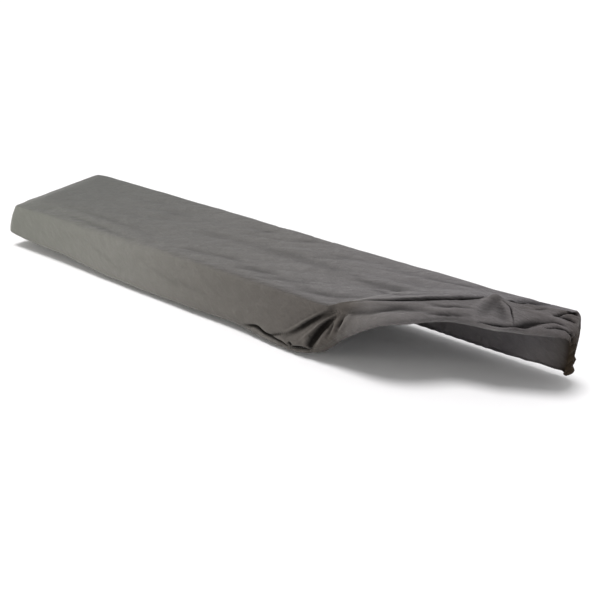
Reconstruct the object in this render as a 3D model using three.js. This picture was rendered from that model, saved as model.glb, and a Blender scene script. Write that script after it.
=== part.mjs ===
// A fitted keyboard dust cover: one sheet of stretch knit with sewn box corners and an elastic hem.
// It is in use, with its front right corner lifted and pushed back over the top. The former front
// wall lies on the top there as a flap, and the right end hangs gathered at the back corner.
import * as THREE from 'three';

// Driving sizes of the covered space, in millimetres. Heights are measured from its base.
const LENGTH = 1272;
const DEPTH = 273;
const FRONT_HEIGHT = 87;
const BACK_HEIGHT = 116;

// The cloth
const SHEET = 2;
const HEM_CASING = 3.2;
const HEM_CASING_ROWS = 2;
const HEM_TAUT_ROWS = 4;
const SHOULDER_INSET = 1.5;
const BELLY_SHARE = 0.7;
const HEM_TUCK = 10;
const HEM_DROP = 4;

// The grid of the surface: rows down each wall, how much closer the top's rows lie at the front, how
// soon the grid's lines leave the shape of the two ends, and how much the shoulders are rounded
const WALL_ROWS = 9;
const FRONT_CROWDING = 1.2;
const END_BLEND = 12;
const SMOOTHING = 0.3;

const LEFT = -LENGTH / 2;
const RIGHT = LENGTH / 2;
const FRONT = -DEPTH / 2;
const BACK = DEPTH / 2;
const MOUNT_HEIGHT = (FRONT_HEIGHT + BACK_HEIGHT) / 2 - SHEET;

// Plain stretch of the front wall, a row for each section: height of the shoulder and of the lower
// turn, how far the wall stands out, how far back the shoulder's slope reaches, grid steps to the next
const FRONT_WALL = [
  { x: -604, top: 79, low: 2, out: 4, reach: 60, steps: 2 },
  { x: -545, top: 81, low: 1, out: 3, reach: 75, steps: 3 },
  { x: -450, top: 82, low: 0, out: 3, reach: 70, steps: 3 },
  { x: -345, top: 84, low: -6, out: 6, reach: 60, steps: 4 },
  { x: -220, top: 87, low: -8, out: 7, reach: 30, steps: 5 },
  { x: -70, top: 88, low: -9, out: 7, reach: 8, steps: 4 },
  { x: 40, top: 88, low: -7, out: 6, reach: 6, steps: 2 },
  { x: 95, top: 89, low: -11, out: 9, reach: 6, steps: 3 },
  { x: 140, top: 90, low: -14, out: 13, reach: 6, steps: 4 },
  { x: 193, top: 91, low: -14, out: 16, reach: 6, steps: 4 },
];

// Lifted stretch from the front wall round the sewn corner, a row for each section: the crest of the
// old shoulder, the belly of the cloth, the turn where it bends under, and its hem
const LIFTED_WALL = [
  {
    crest: [246, -135, 90], belly: [238, -145, 46], turn: [226, -152, -5], hem: [229, -142, -11],
    reach: 8, steps: 3,
  },
  {
    crest: [268, -117, 101], belly: [268, -141, 66], turn: [256, -146, 9], hem: [259, -139, 2],
    reach: 18, steps: 3,
  },
  {
    crest: [300, -97, 110], belly: [298, -139, 86], turn: [291, -145, 47], hem: [296, -139, 40],
    reach: 24, steps: 3,
  },
  {
    crest: [330, -81, 114], belly: [332, -128, 100], turn: [327, -145, 76], hem: [333, -139, 69],
    reach: 26, steps: 2,
  },
  {
    crest: [355, -66, 117], belly: [362, -112, 109], turn: [360, -142, 96], hem: [363, -136, 87],
    reach: 26, steps: 2,
  },
  {
    crest: [384, -46, 119], belly: [396, -86, 113], turn: [400, -119, 103], hem: [395, -107, 91],
    reach: 26, steps: 2,
  },
  {
    crest: [409, -24, 120], belly: [424, -56, 115], turn: [430, -86, 106], hem: [422, -70, 92],
    reach: 26, steps: 2,
  },
  {
    crest: [433, -1, 121], belly: [452, -28, 117], turn: [460, -51, 107], hem: [449, -36, 92],
    reach: 26, steps: 2,
  },
  {
    crest: [453, 22, 122], belly: [480, -8, 117], turn: [496, -34, 106], hem: [485, -20, 91],
    reach: 26, steps: 2,
  },
  {
    crest: [473, 45, 124], belly: [508, 12, 118], turn: [537, -21, 104], hem: [527, -9, 90],
    reach: 26, steps: 2,
  },
  {
    crest: [496, 64, 129], belly: [534, 44, 121], turn: [568, 0, 106], hem: [561, 8, 91],
    reach: 28, steps: 2,
  },
  {
    crest: [526, 83, 124.5], belly: [562, 52, 114], turn: [593, 18, 105], hem: [589, 23, 91],
    reach: 24, steps: 2,
  },
];

// End wall, from the top to where it hangs down outside the right end, gathered at the back corner
const HANGING_WALL = [
  {
    crest: [559, 102, 121.5], belly: [591, 75, 111], turn: [615, 36, 105], hem: [614, 38, 92],
    reach: 18, steps: 2,
  },
  {
    crest: [588, 118, 120], belly: [619, 90, 113], turn: [637, 56, 103], hem: [640, 50, 93],
    reach: 14, steps: 2,
  },
  {
    crest: [609, 121, 120], belly: [640, 105, 112], turn: [650, 81, 88], hem: [646, 71, 79],
    reach: 10, steps: 2,
  },
  {
    crest: [623, 123, 120.5], belly: [646, 118, 104], turn: [652, 102, 52], hem: [646, 93, 45],
    reach: 8, steps: 2,
  },
  {
    crest: [633, 126, 121], belly: [647, 127, 101], turn: [651, 106, 14], hem: [645, 98, 3],
    reach: 8, steps: 2,
  },
  {
    crest: [635, 130, 121], belly: [647, 135, 99], turn: [650, 128, 2], hem: [644, 121, -6],
    reach: 8, steps: 2,
  },
];

// The other three corners and the plain walls, with the same columns as the front wall's rows
const CORNER_ROUND = 3;
const BACK_RIGHT = { top: 121, low: -2, out: 13, reach: 8, steps: 0 };
const BACK_LEFT = { top: 116, low: -4, out: 8, reach: 20 };
const FRONT_LEFT = { top: 77, low: 12, out: 14, reach: 50, steps: 2 };
const BACK_WALL = { top: 118, low: -6, out: 5, reach: 30 };
const LEFT_WALL = { low: 4, out: 9, reach: 35 };

// Main folds, a row for each: a raised ridge, or a sunk trough where its height is negative
const FOLDS = [
  { from: [110, -148, -10], to: [262, -140, 86], width: 17, height: 4 },
  { from: [158, -150, -4], to: [252, -142, 84], width: 15, height: -4 },
  { from: [190, -152, -8], to: [258, -141, 72], width: 15, height: 4.5 },
  { from: [228, -152, 6], to: [258, -143, 66], width: 14, height: -3.5 },
  { from: [334, -67, 112], to: [447, 30, 119], width: 11, height: -6 },
  { from: [300, -120, 98], to: [420, -60, 113], width: 18, height: -4 },
  { from: [345, -112, 106], to: [470, -20, 116], width: 16, height: 4 },
  { from: [470, 12, 118], to: [520, -8, 114], width: 18, height: -3 },
  { from: [566, 34, 108], to: [612, 66, 110], width: 18, height: -4 },
  { from: [-330, 40, 103], to: [-60, 110, 111], width: 38, height: 2.5 },
  { from: [-230, -70, 94], to: [60, 10, 100], width: 36, height: 3 },
  { from: [-20, -100, 92], to: [250, 0, 100], width: 34, height: 3 },
  { from: [60, -60, 95], to: [330, 60, 106], width: 36, height: -3 },
  { from: [180, 20, 103], to: [420, 110, 110], width: 34, height: 3 },
  { from: [-560, -139, 70], to: [-440, -141, 10], width: 34, height: 2.5 },
  { from: [-430, -139, 74], to: [-320, -142, 4], width: 32, height: -2.5 },
];

const point = ([x, y, z]) => new THREE.Vector3(x, y, z);

function plainSection(x, y, outward, { top, low, out, reach, steps }) {
  const [across, along] = outward;
  const place = (proud, height) => [x + across * proud, y + along * proud, height];
  return {
    crest: place(-SHOULDER_INSET, top - SHOULDER_INSET),
    belly: place(out * BELLY_SHARE, (top + low) / 2),
    turn: place(out, low),
    hem: place(out - HEM_TUCK, low - HEM_DROP),
    reach,
    steps,
  };
}

// Height of the flat of the top, which rises towards the back
function topPlane(y) {
  return THREE.MathUtils.mapLinear(y, FRONT, BACK, FRONT_HEIGHT, BACK_HEIGHT);
}

// One wall as columns of points from its shoulder to its hem, by smooth curves through its sections
function wallColumns(sections) {
  const line = (name) => new THREE.CatmullRomCurve3(sections.map((section) => point(section[name])));
  const lines = ['crest', 'belly', 'turn', 'hem'].map(line);
  const last = sections.length - 1;
  const columns = [];
  const addColumn = (share, reach) => {
    const section = new THREE.CatmullRomCurve3(lines.map((curve) => curve.getPoint(share)));
    columns.push({ points: section.getPoints(WALL_ROWS), reach });
  };
  for (let index = 0; index < last; index += 1) {
    const { steps, reach } = sections[index];
    for (let step = 0; step < steps; step += 1) {
      const part = step / steps;
      addColumn((index + part) / last, THREE.MathUtils.lerp(reach, sections[index + 1].reach, part));
    }
  }
  addColumn(1, sections[last].reach);
  return columns;
}

// Share of the way from front to back at which a row of the top lies
function rowDepth(share) {
  return share ** FRONT_CROWDING;
}

function buildWalls() {
  const diagonal = Math.SQRT1_2;
  const corner = (x, y, row) => plainSection(
    x - Math.sign(x) * CORNER_ROUND,
    y - Math.sign(y) * CORNER_ROUND,
    [Math.sign(x) * diagonal, Math.sign(y) * diagonal],
    row,
  );
  const frontLeft = corner(LEFT, FRONT, FRONT_LEFT);
  const backLeft = corner(LEFT, BACK, BACK_LEFT);
  const backRight = corner(RIGHT, BACK, BACK_RIGHT);
  const front = [
    frontLeft,
    ...FRONT_WALL.map((row) => plainSection(row.x, FRONT, [0, -1], row)),
    ...LIFTED_WALL,
    HANGING_WALL[0],
  ];
  const right = [...HANGING_WALL, backRight];
  const back = front.map(({ crest, steps }, index) => {
    if (index === 0) return { ...backLeft, steps };
    if (index === front.length - 1) return backRight;
    return plainSection(crest[0], BACK, [0, 1], { ...BACK_WALL, steps });
  });
  const rows = HANGING_WALL.reduce((sum, { steps }) => sum + steps, 0);
  let row = 0;
  const left = right.map(({ steps }, index) => {
    const depth = rowDepth(row / rows);
    row += steps;
    if (index === 0) return { ...frontLeft, steps };
    if (index === right.length - 1) return backLeft;
    const y = THREE.MathUtils.lerp(FRONT, BACK, depth);
    const top = THREE.MathUtils.lerp(FRONT_LEFT.top, BACK_LEFT.top, depth);
    return plainSection(LEFT, y, [-1, 0], { ...LEFT_WALL, top, steps });
  });
  return {
    front: wallColumns(front),
    right: wallColumns(right),
    back: wallColumns(back),
    left: wallColumns(left),
  };
}

// Share of a shoulder's rise or drop that is left at a distance behind it
function fade(distance, reach) {
  return Math.max(0, 1 - distance / reach) ** 2;
}

// The top as a grid of points stretched between the four shoulders
function buildTop({ front, right, back, left }) {
  const columns = front.length - 1;
  const rows = right.length - 1;
  const crest = (column) => column.points[0];
  const rise = (column) => crest(column).z - topPlane(crest(column).y);
  const planDistance = (a, b) => Math.hypot(a.x - b.x, a.y - b.y);
  const between = (start, end, column) => (
    THREE.MathUtils.inverseLerp(crest(start).x, crest(end).x, crest(column).x)
  );
  const across = (i, depth) => crest(front[i]).clone().lerp(crest(back[i]), depth);
  const grid = [];
  for (let i = 0; i <= columns; i += 1) {
    const share = between(back[0], back[columns], back[i]);
    const nearRight = share ** END_BLEND;
    const nearLeft = (1 - share) ** END_BLEND;
    grid.push([]);
    for (let j = 0; j <= rows; j += 1) {
      const rightDepth = between(right[0], right[rows], right[j]);
      const leftDepth = rowDepth(j / rows);
      const place = across(i, THREE.MathUtils.lerp(leftDepth, rightDepth, nearRight));
      place.addScaledVector(crest(right[j]).clone().sub(across(columns, rightDepth)), nearRight);
      place.addScaledVector(crest(left[j]).clone().sub(across(0, leftDepth)), nearLeft);
      const [byFront, byBack, byLeft, byRight] = [front[i], back[i], left[j], right[j]].map(
        (column) => fade(planDistance(place, crest(column)), column.reach),
      );
      place.z = topPlane(place.y)
        + rise(front[i]) * byFront + rise(back[i]) * byBack
        + rise(left[j]) * byLeft + rise(right[j]) * byRight
        - rise(front[0]) * byFront * byLeft - rise(front[columns]) * byFront * byRight
        - rise(back[0]) * byBack * byLeft - rise(back[columns]) * byBack * byRight;
      grid[i].push(place);
    }
  }
  return grid;
}

// All points of the sheet's outer face once, with the quads between them
function buildSurface() {
  const walls = buildWalls();
  const top = buildTop(walls);
  const columns = top.length - 1;
  const rows = top[0].length - 1;
  const points = [];
  const number = top.map((line) => line.map((place) => points.push(place) - 1));
  const quads = [];
  for (let i = 0; i < columns; i += 1) {
    for (let j = 0; j < rows; j += 1) {
      quads.push([number[i][j], number[i + 1][j], number[i + 1][j + 1], number[i][j + 1]]);
    }
  }
  const around = [
    ...walls.front.slice(0, columns).map((column, i) => ({ column, start: number[i][0] })),
    ...walls.right.slice(0, rows).map((column, j) => ({ column, start: number[columns][j] })),
    ...walls.back.slice(1).map((column, i) => ({ column, start: number[i + 1][rows] })).reverse(),
    ...walls.left.slice(1).map((column, j) => ({ column, start: number[0][j + 1] })).reverse(),
  ];
  const strips = around.map(({ column, start }) => [
    start,
    ...column.points.slice(1).map((place) => points.push(place) - 1),
  ]);
  strips.forEach((strip, index) => {
    const next = strips[(index + 1) % strips.length];
    for (let row = 0; row < WALL_ROWS; row += 1) {
      quads.push([strip[row], strip[row + 1], next[row + 1], next[row]]);
    }
  });
  const slack = points.map(() => 1);
  strips.forEach((strip) => strip.forEach((corner, row) => {
    slack[corner] = Math.min(1, (WALL_ROWS - row) / HEM_TAUT_ROWS);
  }));
  const casing = new Set(strips.flatMap((strip) => strip.slice(-HEM_CASING_ROWS)));
  const hem = strips.map((strip) => strip[WALL_ROWS]);
  return { points, quads, slack, casing, hem };
}

function sheetGeometry(points, quads) {
  const geometry = new THREE.BufferGeometry().setFromPoints(points);
  geometry.setIndex(quads.flatMap(([a, b, c, d]) => [a, b, c, a, c, d]));
  geometry.computeVertexNormals();
  return geometry;
}

function vertexNormals(points, quads) {
  const normals = sheetGeometry(points, quads).getAttribute('normal');
  return points.map((_, index) => new THREE.Vector3().fromBufferAttribute(normals, index));
}

// Rounds the sharp shoulders by drawing each point towards the middle of its neighbours
function smooth(points, quads, fixed) {
  const neighbours = points.map(() => new Set());
  quads.forEach((quad) => quad.forEach((corner, index) => {
    neighbours[corner].add(quad[(index + 1) % 4]).add(quad[(index + 3) % 4]);
  }));
  const before = points.map((place) => place.clone());
  points.forEach((place, index) => {
    if (fixed.has(index)) return;
    const middle = new THREE.Vector3();
    neighbours[index].forEach((other) => middle.add(before[other]));
    place.lerp(middle.divideScalar(neighbours[index].size), SMOOTHING);
  });
}

// How far the folds raise or sink the sheet at a place, with soft sections and rounded ends
function foldHeight(place) {
  return FOLDS.reduce((sum, { from, to, width, height }) => {
    const line = new THREE.Line3(point(from), point(to));
    const along = line.closestPointToPointParameter(place, true);
    const distance = line.at(along, new THREE.Vector3()).distanceTo(place);
    return sum + height * Math.exp(-((distance / width) ** 2));
  }, 0);
}

function coverGeometry() {
  const { points, quads, slack, casing, hem } = buildSurface();
  smooth(points, quads, new Set(hem));
  const lift = vertexNormals(points, quads);
  points.forEach((place, index) => place.addScaledVector(lift[index], foldHeight(place) * slack[index]));
  const normals = vertexNormals(points, quads);
  const inner = points.map((place, index) => {
    const thickness = casing.has(index) ? HEM_CASING : SHEET;
    return place.clone().addScaledVector(normals[index], -thickness);
  });
  const count = points.length;
  const insideQuads = quads.map(([a, b, c, d]) => [d + count, c + count, b + count, a + count]);
  const rim = hem.map((corner, index) => {
    const next = hem[(index + 1) % hem.length];
    return [corner, corner + count, next + count, next];
  });
  return sheetGeometry([...points, ...inner], [...quads, ...insideQuads, ...rim]);
}

const knit = new THREE.MeshStandardMaterial({ color: 0x75736f, roughness: 0.85, metalness: 0 });

const cover = new THREE.Mesh(coverGeometry(), knit);
cover.name = 'cover';
cover.position.z = -MOUNT_HEIGHT;

const dustCover = new THREE.Group();
dustCover.add(cover);

export default dustCover;
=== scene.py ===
import math

import bpy
import numpy as np
from mathutils import Matrix, Vector, noise


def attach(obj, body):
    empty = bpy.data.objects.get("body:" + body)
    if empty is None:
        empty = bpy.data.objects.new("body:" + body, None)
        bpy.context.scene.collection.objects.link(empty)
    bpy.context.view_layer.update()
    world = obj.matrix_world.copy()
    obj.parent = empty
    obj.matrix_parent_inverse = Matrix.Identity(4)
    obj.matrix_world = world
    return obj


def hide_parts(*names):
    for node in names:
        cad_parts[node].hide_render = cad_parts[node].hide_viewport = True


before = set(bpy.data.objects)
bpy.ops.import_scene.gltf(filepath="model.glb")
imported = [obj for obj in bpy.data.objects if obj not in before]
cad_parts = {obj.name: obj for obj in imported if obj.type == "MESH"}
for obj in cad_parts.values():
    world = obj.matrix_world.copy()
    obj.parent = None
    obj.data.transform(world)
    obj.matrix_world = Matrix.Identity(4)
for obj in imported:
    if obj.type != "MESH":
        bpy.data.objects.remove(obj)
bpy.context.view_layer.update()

# Sizes are in millimetres, with heights measured from the base of the covered space
MM = 0.001
LENGTH = 1272
DEPTH = 273
FRONT_HEIGHT = 87
BACK_HEIGHT = 116
CAD_SHEET = 2
MOUNT_HEIGHT = (FRONT_HEIGHT + BACK_HEIGHT) / 2 - CAD_SHEET
LEFT, RIGHT = -LENGTH / 2, LENGTH / 2
FRONT, BACK = -DEPTH / 2, DEPTH / 2

# The cloth
SHEET = 1.2
CASING_BULGE = 1.2
SHOULDER_INSET = 1.0
BELLY_SHARE = 0.7
HEM_TUCK = 10
HEM_DROP = 4

# The grid of the walls and the top
SIDES = ("front", "right", "back", "left")
PLAIN_CELL = 10
FINE_CELL = 5
FINE_FROM = 8  # section of the front from which the cells are fine
WALL_PARTS = (9, 9, 5)  # rows from shoulder to belly, belly to turn and turn to hem
FRONT_CROWDING = 1.25  # how much closer the top's rows lie at the front
END_BLEND = 12  # how soon the top's lines leave the shape of its two ends
SMOOTHING_PASSES = 2
SMOOTHING = 0.5

# Columns of the table of points
PLACE = slice(0, 3)
BEHIND = 3  # distance behind the front crest
GAP = 4  # depth of the crevice
FORWARD = slice(5, 7)  # way forward to the crest
WARM_SHADE = 7  # how much painted shade, with a painted warm reflection, the cloth gets
HEM_LIFT = 8

# Wide cells near folds and the crevice are cut in four
REFINEMENTS = 2
CELL_SHARE = 0.65  # of the fold's width
CUT_REACH = 1.5  # in widths of the fold
CUT_PASSES = 2
CREVICE_CELL = 3
CREVICE_REACH = 28
CREVICE_LEAST = 1

# The slack front shoulder at the left is rounder
SOFT_PASSES = 15
SOFT_ENDS = (-590, -60)
SOFT_BLEND = 150
SOFT_BACK = -70
SOFT_BACK_BLEND = 30

# The crevice behind the lifted ridge, and the cloth behind it that laps over it
CREVICE_BACK = 10
CREVICE_WIDTH = 7.5
CREVICE_STEEPNESS = 4
RIDGE_WIDTH = 5
NEAR_CREST = 1
LAP = 0.3
LAP_BACK = 21
LAP_WIDTH = 7

# Painted shade with a painted warm reflection, darker and browner along the shoulders and a little way over
# the top
WARM_SHADE_FRONT = dict(
    x=(-260, 230, 280, 315, 370, 470, 540, 588, 606),
    share=(0, 0.57, 0.66, 0.32, 0.27, 0.26, 0.43, 0.42, 0.6),
)
WARM_SHADE_BACK = dict(x=(560, 640), share=(0, 0.6))
WARM_SHADE_REACH = 26

# Painted shade with a painted warm reflection on the hanging end, stronger towards its hem
HANG_WARM_SHADE = 0.45
HANG_FROM = 622
HANG_BLEND = 15
HANG_TOP = 105
HANG_FALL = 35

# Gathers that the elastic draws in the hem
GATHER_PITCH = 21
GATHER_HEIGHT = 16
GATHER_WANDER = 2.2
WANDER_LENGTH = 42

# Plain stretch of the front wall: heights of its shoulder and lower turn, and how far it stands out
FRONT_WALL = [
    dict(x=-604, top=79, low=6, out=4, reach=60, gather=0.4),
    dict(x=-545, top=81, low=3, out=3, reach=75, gather=0.3),
    dict(x=-450, top=82, low=0, out=3, reach=70, gather=0.3),
    dict(x=-345, top=84, low=-8, out=6, reach=60, gather=0.3),
    dict(x=-220, top=87, low=-11, out=7, reach=30, gather=0.3),
    dict(x=-70, top=88, low=-9, out=7, reach=8, gather=0.4),
    dict(x=40, top=88, low=-7, out=6, reach=6, gather=0.6),
    dict(x=95, top=89, low=-11, out=9, reach=6, gather=0.6),
    dict(x=140, top=90, low=-14, out=13, reach=6, gather=0.7),
    dict(x=193, top=91, low=-14, out=16, reach=6, gather=0.7),
]

# Lifted stretch round the sewn corner, with the wave behind the crest and the gap between the two
LIFTED_WALL = [
    dict(crest=(246, -135, 91), belly=(238, -145, 46), turn=(226, -152, -5), hem=(229, -142, -11),
         wave=91, reach=8, gap=0, gather=0.5),
    dict(crest=(268, -117, 100), belly=(268, -141, 66), turn=(256, -146, 9), hem=(259, -139, 2),
         wave=98, reach=30, gap=4, gather=0.5),
    dict(crest=(300, -97, 107), belly=(298, -139, 86), turn=(291, -145, 47), hem=(296, -139, 40),
         wave=106.5, reach=70, gap=9, gather=0.4),
    dict(crest=(330, -81, 109), belly=(332, -128, 100), turn=(327, -145, 76), hem=(333, -139, 69),
         wave=111.5, reach=120, gap=11, gather=0.4),
    dict(crest=(355, -66, 112), belly=(362, -112, 109), turn=(360, -142, 96), hem=(363, -136, 87),
         wave=116, reach=150, gap=13, gather=0.4),
    dict(crest=(384, -46, 117), belly=(396, -86, 113), turn=(400, -119, 103), hem=(395, -107, 91),
         wave=121.5, reach=150, gap=15, gather=0.5),
    dict(crest=(409, -24, 119.5), belly=(424, -56, 115), turn=(430, -86, 106), hem=(422, -70, 92),
         wave=124, reach=140, gap=16, gather=0.5),
    dict(crest=(433, -1, 120.3), belly=(452, -28, 117), turn=(460, -51, 107), hem=(449, -36, 92),
         wave=124.8, reach=120, gap=17, gather=0.5),
    dict(crest=(453, 22, 120), belly=(480, -8, 117), turn=(496, -34, 106), hem=(485, -20, 91),
         wave=124.5, reach=95, gap=17, gather=0.5),
    dict(crest=(473, 45, 121.5), belly=(508, 12, 118), turn=(537, -21, 104), hem=(527, -9, 90),
         wave=125, reach=60, gap=17, gather=0.5),
    dict(crest=(496, 64, 132), belly=(534, 44, 121), turn=(568, 0, 106), hem=(561, 8, 91),
         wave=122, reach=40, gap=3, gather=0.5),
    dict(crest=(526, 83, 119), belly=(562, 52, 114), turn=(593, 18, 105), hem=(589, 23, 91),
         wave=125, reach=40, gap=12, gather=0.5),
]

# End wall, from the top to where it hangs down outside the right end, with the same columns
HANGING_WALL = [
    dict(crest=(559, 102, 120), belly=(591, 75, 111), turn=(615, 36, 105), hem=(614, 38, 92),
         wave=122, reach=24, gap=7, gather=0.6),
    dict(crest=(588, 118, 120), belly=(619, 90, 113), turn=(637, 56, 103), hem=(640, 50, 93),
         wave=119, reach=14, gap=0, gather=0.8),
    dict(crest=(609, 121, 120), belly=(640, 105, 112), turn=(650, 81, 88), hem=(646, 71, 79),
         wave=119, reach=10, gap=0, gather=1.2),
    dict(crest=(623, 123, 122), belly=(646, 118, 109), turn=(652, 102, 52), hem=(646, 93, 45),
         wave=122, reach=8, gap=0, gather=2.0),
    dict(crest=(633, 126, 122.5), belly=(644, 127, 109), turn=(649, 106, 14), hem=(645, 98, 3),
         wave=122.5, reach=8, gap=0, gather=3.0),
    dict(crest=(635, 130, 123), belly=(644, 135, 108), turn=(648, 128, 2), hem=(644, 121, -6),
         wave=123, reach=8, gap=0, gather=3.5),
]

# The other three corners and the plain walls, with the same columns as the front wall's rows
CORNER_ROUND = 3
BACK_RIGHT = dict(top=122.5, low=-2, out=10, reach=8, gather=3.0)
BACK_LEFT = dict(top=116, low=-4, out=8, reach=20, gather=1.0)
FRONT_LEFT = dict(top=77, low=12, out=14, reach=50, gather=0.8)
BACK_WALL = dict(top=118, low=-6, out=5, reach=30, gather=0.9)
LEFT_WALL = dict(low=4, out=9, reach=35, gather=0.8)

# Folds of the fan where the front wall is drawn up, ridges or, with a negative height, troughs
FAN_FOLDS = [
    dict(width=3, height=3.5,
         line=[(255, -131, 87), (230, -141, 68), (208, -146, 49), (190, -149, 32), (165, -151, 12)]),
    dict(width=6.5, height=-6.5,
         line=[(266, -127, 87), (239, -141, 67), (221, -145, 52), (203, -148, 34), (169, -152, 4)]),
    dict(width=3, height=4,
         line=[(273, -129, 86), (255, -139, 68), (242, -143, 54), (225, -148, 33), (190, -153, -11)]),
    dict(width=8, height=-11,
         line=[(273, -129, 86), (257, -141, 62), (241, -148, 32), (231, -152, 10), (232, -150, -10)]),
    dict(width=6, height=3, line=[(226, -149, 26), (219, -152, 14), (215, -153, 3)]),
    dict(width=5, height=3, line=[(258, -144, 52), (250, -148, 33), (243, -150, 5)]),
    dict(width=4, height=-3.5, line=[(270, -141, 66), (266, -145, 50), (259, -147, 28)]),
    dict(width=4, height=2.5, line=[(277, -138, 76), (275, -144, 59), (267, -147, 35)]),
    dict(width=4, height=-3.5, line=[(287, -140, 80), (283, -145, 64), (276, -147, 44)]),
    dict(width=4, height=2.5, line=[(293, -138, 85), (291, -144, 70), (283, -146, 52)]),
    dict(width=4, height=-7.5,
         line=[(66, -144, -5), (86, -146, 0), (102, -147, 3), (115, -149, -1), (131, -150, -4),
               (178, -151, 17)]),
    dict(width=3.5, height=-5,
         line=[(120, -150, -3), (149, -151, -6), (166, -152, -7), (190, -153, -11)]),
    dict(width=4, height=2.5,
         line=[(89, -146, -5), (128, -149, -9), (149, -151, -11), (171, -153, -10)]),
    dict(width=3, height=2, line=[(155, -152, 2), (170, -153, -1), (181, -154, -6)]),
    dict(width=3.5, height=-5, line=[(182, -154, 1), (186, -154, -3), (190, -154, -6)]),
    dict(width=4.5, height=-9,
         line=[(185, -153, -10), (204, -154, -6), (220, -154, -4), (232, -150, -5)]),
    dict(width=3, height=3, line=[(222, -153, 4), (227, -153, 0), (230, -151, -4)]),
]

# Folds along the flap
FLAP_FOLDS = [
    dict(width=13, height=-5,
         line=[(270, -133, 80), (294, -130, 92), (338, -122, 103), (372, -87, 113), (396, -79, 114),
               (430, -62, 114)]),
    dict(width=10, height=4,
         line=[(285, -144, 72), (331, -133, 96), (354, -124, 104), (387, -115, 108), (412, -87, 111),
               (445, -62, 111)]),
    dict(width=6, height=-3.5, line=[(405, -45, 116), (437, -30, 118), (454, -15, 119), (486, 4, 118)]),
    dict(width=6, height=3.5, line=[(405, -64, 114), (440, -45, 115), (459, -25, 116), (492, -8, 116)]),
    dict(width=6, height=-4, line=[(412, -90, 110), (439, -59, 112), (456, -45, 112), (490, -22, 112)]),
    dict(width=6, height=3, line=[(262, -124, 92), (301, -107, 103), (340, -83, 109), (420, -45, 116)]),
    dict(width=4.5, height=3, line=[(295, -131, 91), (298, -141, 82), (290, -146, 63)]),
    dict(width=5, height=-3, line=[(285, -132, 87), (284, -141, 75), (278, -145, 58)]),
]

# The sewn corner, with its seam
CORNER_FOLDS = [
    dict(width=6, height=2.5, line=[(490, 56, 127), (484, 44, 124), (480, 27, 122), (478, -12, 115)]),
    dict(width=13, height=-3.2,
         line=[(494, 70, 131), (499, 45, 125), (499, 24, 121), (500, 4, 117), (504, -20, 113)]),
    dict(width=13, height=-3.2,
         line=[(496, 68, 130), (514, 45, 124), (524, 27, 119), (535, 8, 115), (548, -12, 109)]),
    dict(width=5, height=-10,
         line=[(500, -33, 108), (525, -21, 107), (551, -9, 107), (563, -1, 108), (585, 25, 111)]),
    dict(width=4, height=2.5, line=[(517, -27, 102), (537, -20, 103), (558, -7, 104), (593, 26, 108)]),
    dict(width=2.2, height=-4, line=[(512, 58, 128), (532, 50, 122), (541, 34, 118), (559, 0, 110)]),
    dict(width=5, height=2, line=[(507, 54, 128), (518, 51, 125), (529, 40, 121), (538, 24, 117)]),
    dict(width=10, height=-8,
         line=[(552, -12, 105), (565, 2, 109), (574, 19, 111), (586, 45, 110), (606, 76, 111)]),
    dict(width=10, height=3, line=[(548, 41, 117), (573, 77, 115), (606, 82, 112), (639, 77, 105)]),
    dict(width=4, height=-2.5, line=[(562, 79, 117), (575, 95, 118), (587, 109, 119)]),
]

# Streaks of the top behind the crevice
BEHIND_FOLDS = [
    dict(width=4.5, height=-4,
         line=[(498, 64, 130), (512, 73, 126), (522, 88, 122), (532, 104, 118), (550, 122, 115)]),
    dict(width=7, height=-6,
         line=[(495, 84, 117), (520, 104, 115), (540, 117, 115), (560, 126, 117), (590, 133, 118)]),
    dict(width=12, height=-3,
         line=[(214, 14, 103), (256, 6, 102), (297, 13, 103), (342, 17, 108), (385, 14, 116),
               (420, 30, 120)]),
    dict(width=8, height=-2.5,
         line=[(268, -23, 99), (299, -15, 100), (341, -25, 112), (378, -16, 118), (425, 12, 121)]),
    dict(width=8, height=-1.6, line=[(309, 42, 106), (347, 53, 108), (385, 64, 112), (430, 85, 114)]),
    dict(width=7, height=-1.4,
         line=[(330, 87, 111), (369, 100, 112), (412, 110, 113), (450, 121, 115)]),
    dict(width=8, height=-1.2, line=[(243, 79, 110), (284, 90, 111), (330, 108, 113)]),
]

# Creases of the end, where it turns down and hangs
END_FOLDS = [
    dict(width=4, height=-11,
         line=[(600, 86, 114.5), (611, 104, 116.5), (620, 114, 118), (629, 120, 118.8), (644, 127, 116)]),
    dict(width=4, height=3, line=[(607, 92, 114), (617, 102, 116), (628, 113, 116), (637, 124, 114)]),
    dict(width=4, height=-11,
         line=[(600, 90, 114), (614, 96, 115), (625, 98, 114.5), (634, 100, 113), (645, 102, 107)]),
    dict(width=5, height=-5, line=[(588, 42, 110), (607, 67, 110), (619, 71, 110), (638, 74, 106)]),
    dict(width=5, height=2.5, line=[(588, 39, 110), (603, 51, 109), (617, 60, 110), (631, 65, 108)]),
    dict(width=3, height=-7,
         line=[(600, 30, 108), (620, 52, 108), (629, 59, 107), (639, 65, 103), (649, 76, 90)]),
    dict(width=6, height=3, line=[(641, 102, 110), (648, 94, 98), (651, 88, 85), (651, 92, 67)]),
    dict(width=4, height=-4, line=[(643, 77, 101), (649, 73, 90), (649, 88, 66)]),
    dict(width=5, height=-3, line=[(643, 122, 108), (650, 108, 94), (652, 100, 77)]),
    dict(width=4.5, height=7, line=[(649, 98, 45), (651, 110, 33), (650, 104, 22)]),
    dict(width=4.5, height=7, line=[(650, 100, 20), (651, 119, 9), (649, 112, 0)]),
]

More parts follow.
